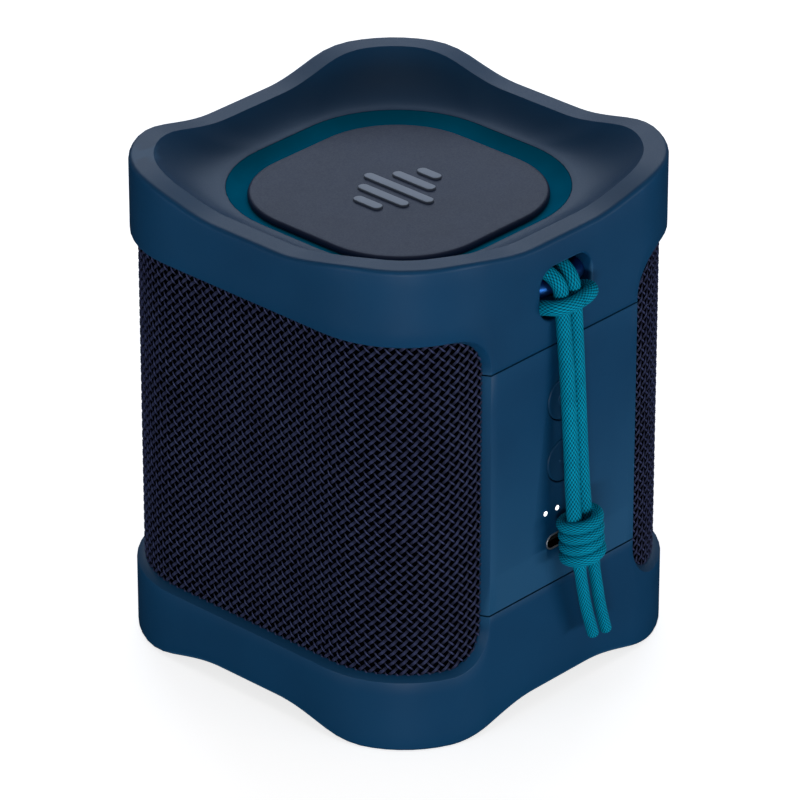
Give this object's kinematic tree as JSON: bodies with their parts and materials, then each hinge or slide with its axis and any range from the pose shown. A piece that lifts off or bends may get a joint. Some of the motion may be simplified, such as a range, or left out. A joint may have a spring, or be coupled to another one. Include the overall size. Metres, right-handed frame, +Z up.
{
  "type": "portable wireless speaker",
  "caption": "Rounded square portable speaker with a floating bass radiator in a dished top, fabric grille on three sides, control strip with buttons and lights, and a knotted cord lanyard.",
  "frame": {"origin": "middle of the footprint on the surface the feet stand on", "axes": "+Z up, -Y out of the control strip, the two drivers face -X and +X"},
  "size_m": [0.084, 0.0934, 0.1005],
  "materials": {
    "housing_soft_touch": "soft-touch navy",
    "button_soft_touch": "soft-touch navy",
    "grille_fabric": "open bias weave",
    "black_plastic": "moulded black",
    "teal_rubber": "smooth",
    "plate_plastic": "satin",
    "black_rubber": "smooth",
    "steel": "zinc plated",
    "port_steel": "nickel plated",
    "blue_bar": "blue anodised",
    "circuit_board": "solder mask",
    "chip_plastic": "moulded epoxy",
    "led_lens": "clear diffusing",
    "cell_sleeve": "shrink sleeve over a steel can",
    "magnet": "nickel plated",
    "copper_coil": "enamelled copper",
    "cone_paper": "coated paper",
    "spider_cloth": "impregnated cloth",
    "cord_teal": "braided"
  },
  "bodies": {
    "speaker_body": {"top_housing": "housing_soft_touch", "bottom_housing": "housing_soft_touch", "control_panel": "housing_soft_touch", "grille_fabric": "grille_fabric", "grille_frame": "black_plastic", "cabinet": "black_plastic", "cabinet_lid": "black_plastic", "lid_gasket": "black_rubber", "top_screws": "steel", "base_screws": "steel", "radiator_frame": "black_plastic", "radiator_gasket": "black_rubber", "radiator_surround": "teal_rubber", "usb_shell": "port_steel", "usb_tongue": "chip_plastic", "usb_seal": "black_rubber", "light_pipes": "led_lens", "led_chips": "led_lens", "switch_bases": "steel", "control_board": "circuit_board", "board_header": "chip_plastic", "main_board": "circuit_board", "radio_shield": "steel", "board_chips": "chip_plastic", "battery_cell": "cell_sleeve", "battery_cradle": "black_plastic", "battery_clip": "black_rubber", "driver_gaskets": "black_rubber", "driver_screws": "steel", "lanyard_bar": "blue_bar", "cord_hitch": "cord_teal", "cord_strand_left": "cord_teal", "cord_strand_right": "cord_teal", "cord_knot": "cord_teal", "cord_tail_left": "cord_teal", "cord_tail_right": "cord_teal", "left_basket": "steel", "left_cup": "steel", "left_magnet": "magnet", "left_pole": "steel", "left_surround": "black_rubber", "left_spider": "spider_cloth", "right_basket": "steel", "right_cup": "steel", "right_magnet": "magnet", "right_pole": "steel", "right_surround": "black_rubber", "right_spider": "spider_cloth"},
    "power_button_body": {"power_button": "button_soft_touch", "power_plunger": "chip_plastic"},
    "pairing_button_body": {"pairing_button": "button_soft_touch", "pairing_plunger": "chip_plastic"},
    "radiator_body": {"radiator_plate": "plate_plastic", "radiator_weight": "steel"},
    "left_diaphragm": {"left_cone": "cone_paper", "left_coil": "copper_coil", "left_cap": "cone_paper"},
    "right_diaphragm": {"right_cone": "cone_paper", "right_coil": "copper_coil", "right_cap": "cone_paper"}
  },
  "joints": [
    {"name": "power_press", "type": "slide", "parent": "speaker_body", "child": "power_button_body", "axis": [0, 1, 0], "range_m": [0, 0.0005], "stiffness_N_per_m": 600},
    {"name": "pairing_press", "type": "slide", "parent": "speaker_body", "child": "pairing_button_body", "axis": [0, 1, 0], "range_m": [0, 0.0005], "stiffness_N_per_m": 600},
    {"name": "radiator_stroke", "type": "slide", "parent": "speaker_body", "child": "radiator_body", "axis": [0, 0, 1], "range_m": [-0.002, 0.002], "stiffness_N_per_m": 2500, "deforming": ["radiator_surround"]},
    {"name": "left_cone_stroke", "type": "slide", "parent": "speaker_body", "child": "left_diaphragm", "axis": [-1, 0, 0], "range_m": [-0.001, 0.001], "stiffness_N_per_m": 2000, "deforming": ["left_surround", "left_spider"]},
    {"name": "right_cone_stroke", "type": "slide", "parent": "speaker_body", "child": "right_diaphragm", "axis": [1, 0, 0], "range_m": [-0.001, 0.001], "stiffness_N_per_m": 2000, "deforming": ["right_surround", "right_spider"]}
  ]
}
